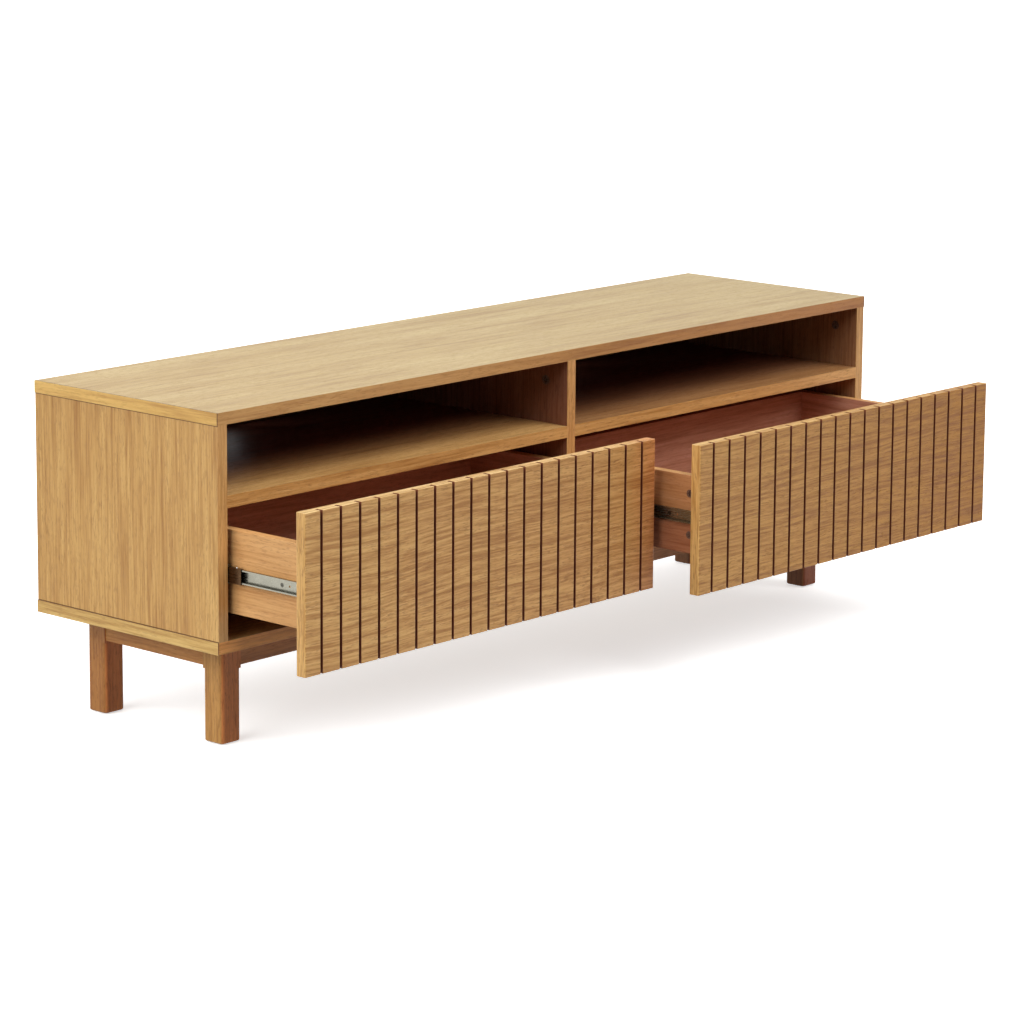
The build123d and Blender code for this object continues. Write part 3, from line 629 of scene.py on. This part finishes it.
class MEDIACABINET_OT_fittings(bpy.types.Operator):
    """Finish the slides, the balls, the cam locks, the bolts and the screws"""

    bl_idname = "media_cabinet.fittings"
    bl_label = "Fittings"

    def execute(self, context):
        s = settings().metal
        zinc, cam, ball = tuple(s.zinc), tuple(s.cam), tuple(s.ball)
        slide = metal_finish("slide_steel", zinc, (0.24, 0.24, 0.20), "Y", 0.10, 0.27)
        screw = metal_finish("screw_zinc", tuple(c * 0.8 for c in zinc), (0.22, 0.20, 0.18),
                             "Z", 0.15, 0.32)
        cast = metal_finish("cam_zinc", cam, (0.07, 0.04, 0.03), "Z", 0.2, 0.5)
        # the cages' dark brown is painted shade near the carcass and a painted reflection of the
        # dark cabinet interior
        cage = metal_finish("cage_steel_painted_shade", (0.080, 0.046, 0.024), (0.020, 0.014, 0.010),
                            "Y", 0.3, 0.30)
        dark_screw = metal_finish("slide_screw_zinc", (0.09, 0.085, 0.07), (0.02, 0.02, 0.02),
                                  "Z", 0.3, 0.30)
        steel = metal_finish("ball_steel", ball, (0.4, 0.4, 0.4), "X", 0.05, 0.16)
        for bay in ("left", "right"):
            dress(slide, f"{bay}_bay_left_track", f"{bay}_bay_right_track",
                  f"{bay}_drawer_left_slide", f"{bay}_drawer_right_slide")
            dress(cage, f"{bay}_ball_cages")
            dress(screw, f"{bay}_drawer_screws")
            dress(dark_screw, f"{bay}_drawer_slide_screws")
            dress(cast, f"{bay}_drawer_cam_locks", f"{bay}_drawer_cam_bolts")
            dress(steel, f"{bay}_slide_balls")
        dress(screw, "track_screws", "back_panel_screws", "corner_block_screws")
        dress(cast, "panel_cam_locks", "panel_cam_bolts", "shelf_cam_locks", "shelf_cam_bolts")
        return {"FINISHED"}


# ---------------------------------------------------------------- stage

def sun(name, toward, strength, spread):
    """A broad, soft light from one side; toward points from the cabinet to the light."""
    lamp = bpy.data.lights.new(name, "SUN")
    lamp.energy = strength
    lamp.angle = math.radians(spread)
    holder = bpy.data.objects.new(name, lamp)
    holder.rotation_euler = Vector(toward).to_track_quat("Z", "Y").to_euler()
    bpy.context.scene.collection.objects.link(holder)


class MEDIACABINET_OT_stage(bpy.types.Operator):
    """Lay the pale floor, and set the studio light and the camera"""

    bl_idname = "media_cabinet.stage"
    bl_label = "Stage"

    def execute(self, context):
        s = settings().stage
        scene = context.scene
        self.floor()
        sun("key_light", (-0.84, 0.12, 0.53), s.key, 60.0)
        sun("front_light", (0.15, -0.62, 0.77), s.front, 50.0)
        self.room(s)
        self.camera(s)
        scene.view_settings.view_transform = "Standard"
        scene.view_settings.look = "None"
        return {"FINISHED"}

    def floor(self):
        half, glow = 40.0, 0.60
        mesh = bpy.data.meshes.new("floor")
        mesh.from_pydata([(-half, -half, 0), (half, -half, 0), (half, half, 0), (-half, half, 0)],
                         [], [(0, 1, 2, 3)])
        plane = bpy.data.objects.new("floor", mesh)
        plane.location.z = FLOOR_LEVEL - HAIR
        bpy.context.scene.collection.objects.link(plane)
        b = Bench("floor_paper")
        b.shader.inputs["Emission Color"].default_value = (*WHITE, 1.0)
        tooth = b.noise(b.where.outputs["Object"], 160.0, 3.0, 0.6)
        tone = b.tones(tooth, [(0.3, (0.90, 0.90, 0.90)), (0.7, (0.92, 0.92, 0.92))])
        paper = b.finish(Base_Color=tone, Roughness=0.95, Emission_Strength=glow)
        plane.data.materials.append(paper)
        plane.visible_diffuse = False

    def room(self, s):
        world = bpy.data.worlds.new("studio")
        bpy.context.scene.world = world
        world.use_nodes = True
        tree = world.node_tree
        background = tree.nodes["Background"]
        put = tree.nodes.new
        way = put("ShaderNodeTexCoord")
        aim = put("ShaderNodeVectorMath")
        aim.operation = "DOT_PRODUCT"
        behind = (0.70, 0.68, 0.18)
        aim.inputs[1].default_value = Vector(behind).normalized()
        tree.links.new(way.outputs["Generated"], aim.inputs[0])
        fade = put("ShaderNodeMapRange")
        fade.interpolation_type = "SMOOTHSTEP"
        wall_start, wall_full = 0.35, 0.92
        for spot, value in enumerate((wall_start, wall_full, s.room, s.backdrop), start=1):
            fade.inputs[spot].default_value = value
        tree.links.new(aim.outputs["Value"], fade.inputs[0])
        tree.links.new(fade.outputs[0], background.inputs["Strength"])
        background.inputs["Color"].default_value = (*WHITE, 1.0)

    def camera(self, s):
        right = Vector((math.cos(s.heading), -math.sin(s.heading), 0))
        forward = Vector((math.sin(s.heading) * math.cos(s.tilt),
                          math.cos(s.heading) * math.cos(s.tilt), -math.sin(s.tilt)))
        up = right.cross(forward)
        side = right * math.cos(s.roll) + up * math.sin(s.roll)
        top = up * math.cos(s.roll) - right * math.sin(s.roll)
        turn = Matrix((side, top, -forward)).transposed()
        lens = bpy.data.cameras.new("camera")
        lens.lens = s.lens
        lens.sensor_width = 36.0
        lens.shift_y = s.rise
        lens.clip_end = 100.0
        camera = bpy.data.objects.new("camera", lens)
        camera.matrix_world = Matrix.Translation(Vector(s.place)) @ turn.to_4x4()
        bpy.context.scene.collection.objects.link(camera)
        bpy.context.scene.camera = camera


# ---------------------------------------------------------------- add-on

PIECES = (
    MEDIACABINET_OT_top,
    MEDIACABINET_OT_carcass,
    MEDIACABINET_OT_backs,
    MEDIACABINET_OT_fronts,
    MEDIACABINET_OT_boxes,
    MEDIACABINET_OT_base,
    MEDIACABINET_OT_fittings,
    MEDIACABINET_OT_stage,
)


class MEDIACABINET_PT_sidebar(bpy.types.Panel):
    """Buttons for each part of the cabinet"""

    bl_label = "Media Cabinet"
    bl_idname = "MEDIACABINET_PT_sidebar"
    bl_space_type = "VIEW_3D"
    bl_region_type = "UI"
    bl_category = "Media Cabinet"

    def draw(self, context):
        layout = self.layout
        for group in ("oak", "metal", "stage"):
            part = getattr(context.scene.media_cabinet, group)
            box = layout.box()
            box.label(text=group.capitalize())
            for name in part.__annotations__:
                box.prop(part, name)
        for piece in PIECES:
            layout.operator(piece.bl_idname)


CLASSES = (OakSettings, MetalSettings, StageSettings, CabinetSettings, *PIECES,
           MEDIACABINET_PT_sidebar)


def register():
    for kind in CLASSES:
        bpy.utils.register_class(kind)
    bpy.types.Scene.media_cabinet = bpy.props.PointerProperty(type=CabinetSettings)


def unregister():
    del bpy.types.Scene.media_cabinet
    for kind in reversed(CLASSES):
        bpy.utils.unregister_class(kind)


def main():
    register()
    for piece in PIECES:
        group, action = piece.bl_idname.split(".")
        getattr(getattr(bpy.ops, group), action)()


if __name__ == "__main__":
    main()
